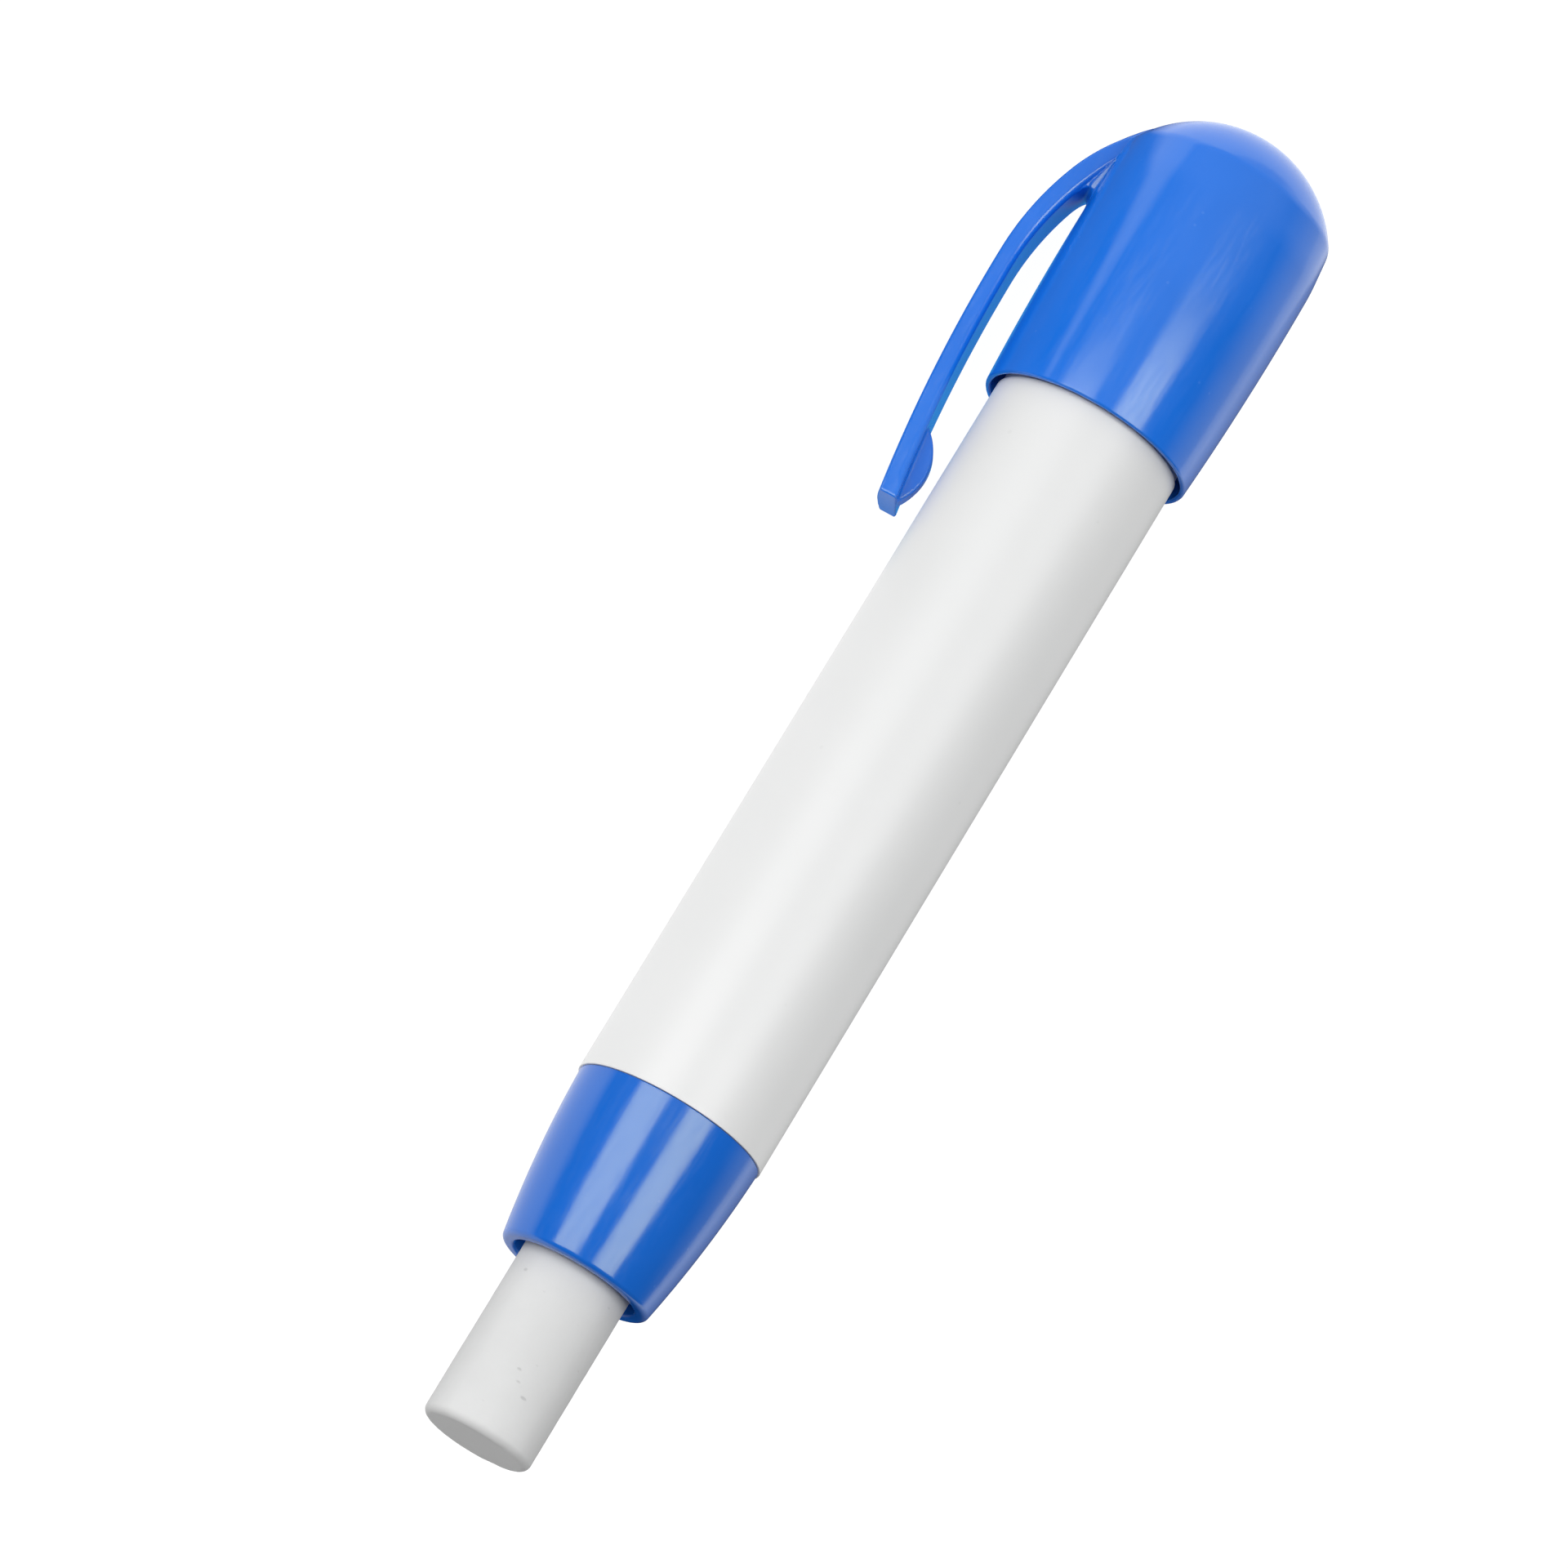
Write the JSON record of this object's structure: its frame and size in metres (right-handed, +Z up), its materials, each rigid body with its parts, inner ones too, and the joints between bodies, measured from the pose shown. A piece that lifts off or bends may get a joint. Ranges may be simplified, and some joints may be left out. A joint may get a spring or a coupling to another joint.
{
  "type": "retractable eraser",
  "caption": "Pen-shaped eraser: turning the clipped cap moves a white eraser stick out of the nose cone or back into the barrel",
  "frame": {"origin": "on the pen's axis, halfway along the open part of the barrel", "axes": "+X along the axis towards the eraser; +Z up, with the pen lying on the widest ring of its cap and the crest of its clip, and the clip pointing to -Y and down"},
  "size_m": [0.106, 0.0188, 0.0164],
  "materials": {
    "white_shell": "smooth moulded white plastic, satin gloss",
    "blue_shell": "glossy moulded mid-blue plastic",
    "inner_plastic": "plain moulded acetal, matte",
    "rubber_ring": "black rubber",
    "vinyl": "matte white eraser vinyl with a few tiny nicks"
  },
  "bodies": {
    "barrel_body": {"barrel": "white_shell", "nose_cone": "blue_shell", "spiral_sleeve": "inner_plastic", "friction_ring": "rubber_ring"},
    "cap_body": {"cap": "blue_shell", "guide_tube": "inner_plastic", "retaining_ring": "inner_plastic"},
    "stick_body": {"carrier": "inner_plastic", "eraser_stick": "vinyl"}
  },
  "joints": [
    {"name": "cap_twist", "type": "hinge", "parent": "barrel_body", "child": "cap_body", "pos_m": [0, 0, 0], "axis": [1, 0, 0], "range_deg": [-360, 1080]},
    {"name": "stick_slide", "type": "slide", "parent": "cap_body", "child": "stick_body", "axis": [1, 0, 0], "range_m": [-0.014, 0.042]}
  ],
  "couplings": [
    {"joint": "stick_slide", "follows": "cap_twist", "m_per_rad": 0.0022282}
  ]
}
